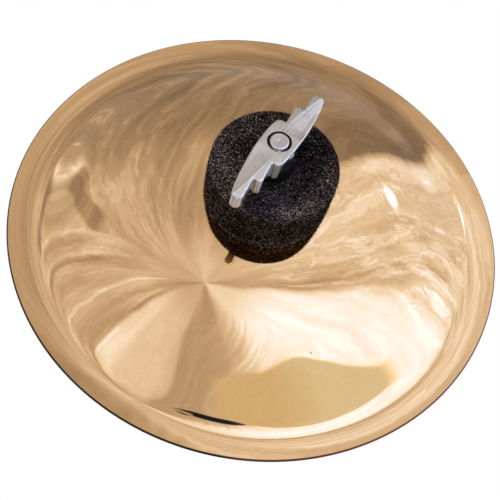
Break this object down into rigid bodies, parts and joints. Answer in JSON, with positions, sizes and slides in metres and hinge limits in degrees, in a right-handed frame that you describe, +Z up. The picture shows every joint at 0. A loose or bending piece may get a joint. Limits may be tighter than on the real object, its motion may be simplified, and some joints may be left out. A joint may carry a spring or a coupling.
{
  "type": "bell cymbal",
  "caption": "Small domed bronze bell cymbal with a flat flange, clamped between felts on a threaded mounting post by a wing nut with stepped wings.",
  "frame": {"origin": "on the axis, in the flat bottom face of the mounting post", "axes": "+Z up along the post and the stud to the wing nut; +X and +Y in the plane of the rim, with the picture taken from the -Y side"},
  "size_m": [0.1524, 0.1524, 0.0873],
  "materials": {
    "bronze": "polished cast bronze, mirror bright",
    "felt": "charcoal pressed wool felt with paler fibres",
    "cast_zinc": "satin plated zinc casting",
    "bright_steel": "turned steel thread",
    "plated_steel": "bright plated steel",
    "nylon": "black nylon tube"
  },
  "bodies": {
    "mount": {"mounting_post": "plated_steel", "stud": "bright_steel", "lock_nut": "plated_steel", "seat_washer": "plated_steel"},
    "felts": {"lower_felt": "felt", "upper_felt": "felt"},
    "cymbal": {"bell_cymbal": "bronze"},
    "sleeve": {"sleeve": "nylon"},
    "wing_nut": {"wing_nut": "cast_zinc"}
  },
  "joints": [
    {"name": "cymbal_spin", "type": "hinge", "parent": "mount", "child": "felts", "pos_m": [0, 0, 0.0568], "axis": [0, 0, 1], "continuous": true},
    {"name": "cymbal_rock", "type": "hinge", "parent": "felts", "child": "cymbal", "pos_m": [0, 0, 0.0568], "axis": [1, 0, 0], "range_deg": [-3, 3], "stiffness_Nm_per_rad": 0.6, "deforming": ["upper_felt", "lower_felt"]},
    {"name": "nut_travel", "type": "slide", "parent": "mount", "child": "sleeve", "axis": [0, 0, 1], "range_m": [0, 0.009]},
    {"name": "wing_nut_turn", "type": "hinge", "parent": "sleeve", "child": "wing_nut", "pos_m": [0, 0, 0.0741], "axis": [0, 0, 1], "range_deg": [0, 3240]}
  ],
  "couplings": [
    {"joint": "nut_travel", "follows": "wing_nut_turn", "m_per_rad": 0.00015915}
  ]
}
